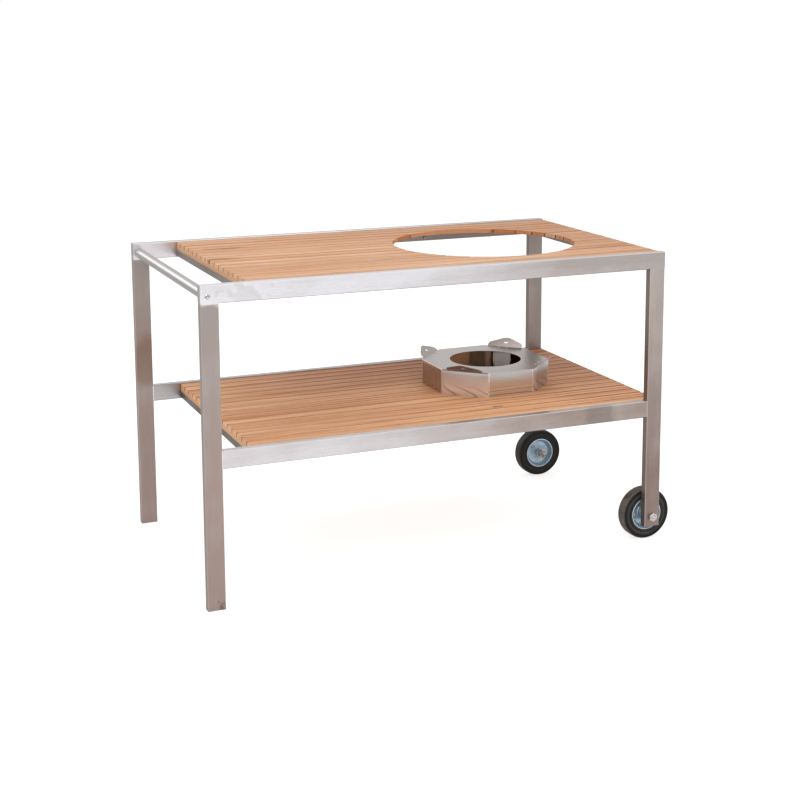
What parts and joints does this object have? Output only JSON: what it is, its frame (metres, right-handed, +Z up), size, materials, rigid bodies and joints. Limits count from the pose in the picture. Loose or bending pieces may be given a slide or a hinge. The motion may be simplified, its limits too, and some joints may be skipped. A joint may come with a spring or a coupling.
{
  "type": "kamado grill table",
  "caption": "Wheeled kamado grill table: steel tube frame, slatted wooden top with a round cut-out, slatted shelf with a loose octagonal steel stand, and a bar handle.",
  "frame": {"origin": "on the floor, under the middle of the whole outline with the wheels and bolt heads", "axes": "+X from the handle end to the wheel end, +Y from the front to the rear, +Z up"},
  "size_m": [1.475, 0.84, 0.9],
  "materials": {
    "frame_steel": "brushed stainless",
    "handle_steel": "satin stainless",
    "top_wood": "oiled hardwood",
    "shelf_wood": "oiled hardwood",
    "stand_steel": "brushed stainless sheet",
    "wheel_zinc": "zinc plated",
    "tyre_rubber": "matt black rubber",
    "fastener_steel": "stainless"
  },
  "bodies": {
    "frame": {"axle_bolts": "fastener_steel", "axle_nuts": "fastener_steel", "axle_sleeves": "fastener_steel", "axle_washers": "fastener_steel", "front_left_leg": "frame_steel", "front_right_leg": "frame_steel", "front_shelf_rail": "frame_steel", "front_top_rail": "frame_steel", "handle_bar": "handle_steel", "handle_screws": "fastener_steel", "leg_end_plates": "frame_steel", "rail_end_plates": "frame_steel", "rear_left_leg": "frame_steel", "rear_right_leg": "frame_steel", "rear_shelf_rail": "frame_steel", "rear_top_rail": "frame_steel", "shelf_batten_1": "shelf_wood", "shelf_batten_2": "shelf_wood", "shelf_batten_3": "shelf_wood", "shelf_batten_4": "shelf_wood", "shelf_cross_tube_1": "frame_steel", "shelf_cross_tube_2": "frame_steel", "shelf_cross_tube_3": "frame_steel", "shelf_cross_tube_4": "frame_steel", "shelf_slats": "shelf_wood", "top_batten_1": "top_wood", "top_batten_2": "top_wood", "top_batten_3": "top_wood", "top_batten_4": "top_wood", "top_cross_tube_1": "frame_steel", "top_cross_tube_2": "frame_steel", "top_cross_tube_3": "frame_steel", "top_cross_tube_4": "frame_steel", "top_slat_01": "top_wood", "top_slat_02": "top_wood", "top_slat_03": "top_wood", "top_slat_04": "top_wood", "top_slat_05": "top_wood", "top_slat_06": "top_wood", "top_slat_07": "top_wood", "top_slat_08": "top_wood", "top_slat_09": "top_wood", "top_slat_10": "top_wood", "top_slat_11": "top_wood", "top_slat_12": "top_wood", "top_slat_13": "top_wood", "top_slat_14": "top_wood", "top_slat_15": "top_wood", "top_slat_16": "top_wood"},
    "front_wheel": {"front_tyre": "tyre_rubber", "front_wheel_rim": "wheel_zinc"},
    "rear_wheel": {"rear_tyre": "tyre_rubber", "rear_wheel_rim": "wheel_zinc"},
    "stand": {"stand_plate": "stand_steel", "stand_corner_panels": "stand_steel"}
  },
  "joints": [
    {"name": "front_wheel_spin", "type": "hinge", "parent": "frame", "child": "front_wheel", "pos_m": [0.6575, -0.358, 0.08], "axis": [0, 1, 0], "continuous": true},
    {"name": "rear_wheel_spin", "type": "hinge", "parent": "frame", "child": "rear_wheel", "pos_m": [0.6575, 0.358, 0.08], "axis": [0, 1, 0], "continuous": true},
    {"name": "stand_lift", "type": "slide", "parent": "frame", "child": "stand", "axis": [0, 0, 1], "range_m": [0, 0.5]}
  ]
}
